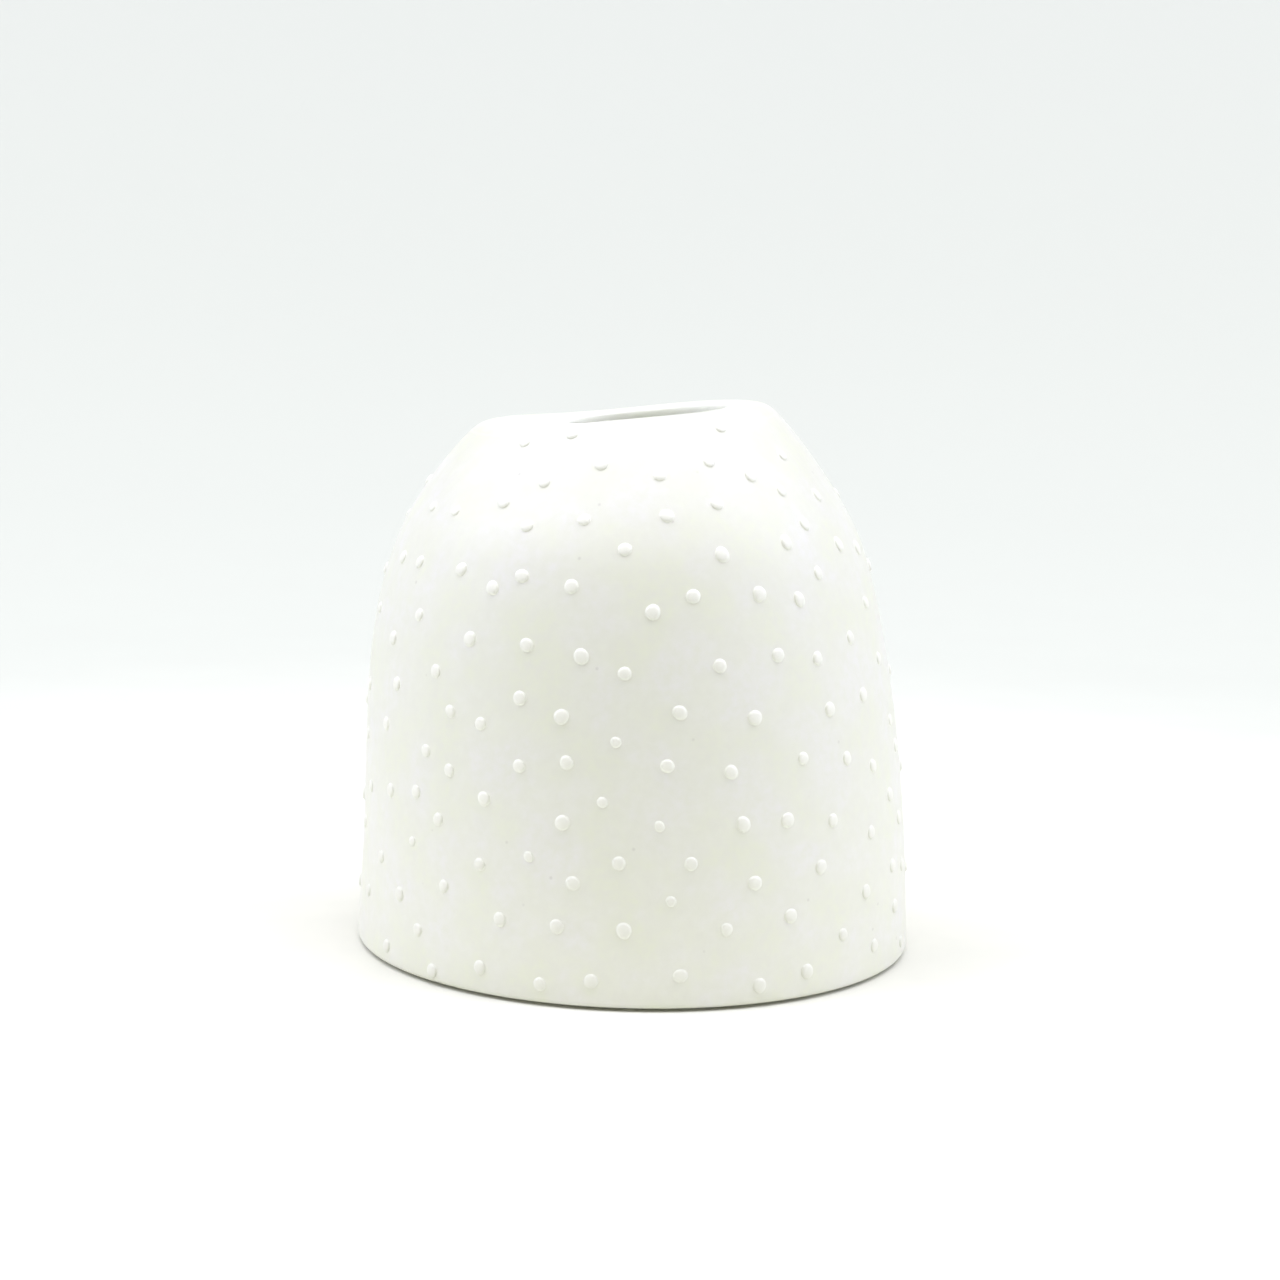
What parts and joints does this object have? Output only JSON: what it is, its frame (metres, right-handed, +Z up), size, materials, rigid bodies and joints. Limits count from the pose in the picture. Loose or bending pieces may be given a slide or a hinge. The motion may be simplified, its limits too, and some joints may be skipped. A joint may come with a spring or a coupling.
{
  "type": "flower frog",
  "caption": "Free-standing porcelain dome with one round slanted mouth that holds a few stems upright in water, its outside set with small raised beads of slip.",
  "frame": {"origin": "centre of the round foot, on the surface that the piece stands on", "axes": "+Z up, -Y towards the front, +X towards the side where the slanted rim is highest"},
  "size_m": [0.0808, 0.0806, 0.0785],
  "materials": {
    "porcelain": "satin",
    "white_slip": "satin"
  },
  "bodies": {
    "root": {"porcelain_body": "porcelain", "slip_bead_01": "white_slip", "slip_bead_02": "white_slip", "slip_bead_03": "white_slip", "slip_bead_04": "white_slip", "slip_bead_05": "white_slip", "slip_bead_06": "white_slip", "slip_bead_07": "white_slip", "slip_bead_08": "white_slip", "slip_bead_09": "white_slip", "slip_bead_10": "white_slip", "slip_bead_11": "white_slip", "slip_bead_12": "white_slip", "slip_bead_13": "white_slip", "slip_bead_14": "white_slip", "slip_bead_15": "white_slip", "slip_bead_16": "white_slip", "slip_bead_17": "white_slip", "slip_bead_18": "white_slip", "slip_bead_19": "white_slip", "slip_bead_20": "white_slip", "slip_bead_21": "white_slip", "slip_bead_22": "white_slip", "slip_bead_23": "white_slip", "slip_bead_24": "white_slip", "slip_bead_25": "white_slip", "slip_bead_26": "white_slip", "slip_bead_27": "white_slip", "slip_bead_28": "white_slip", "slip_bead_29": "white_slip", "slip_bead_30": "white_slip", "slip_bead_31": "white_slip", "slip_bead_32": "white_slip", "slip_bead_33": "white_slip", "slip_bead_34": "white_slip", "slip_bead_35": "white_slip", "slip_bead_36": "white_slip", "slip_bead_37": "white_slip", "slip_bead_38": "white_slip", "slip_bead_39": "white_slip", "slip_bead_40": "white_slip", "slip_bead_41": "white_slip", "slip_bead_42": "white_slip", "slip_bead_43": "white_slip", "slip_bead_44": "white_slip", "slip_bead_45": "white_slip", "slip_bead_46": "white_slip", "slip_bead_47": "white_slip", "slip_bead_48": "white_slip", "slip_bead_49": "white_slip", "slip_bead_50": "white_slip", "slip_bead_51": "white_slip", "slip_bead_52": "white_slip", "slip_bead_53": "white_slip", "slip_bead_54": "white_slip", "slip_bead_55": "white_slip", "slip_bead_56": "white_slip", "slip_bead_57": "white_slip", "slip_bead_58": "white_slip", "slip_bead_59": "white_slip"}
  },
  "joints": []
}
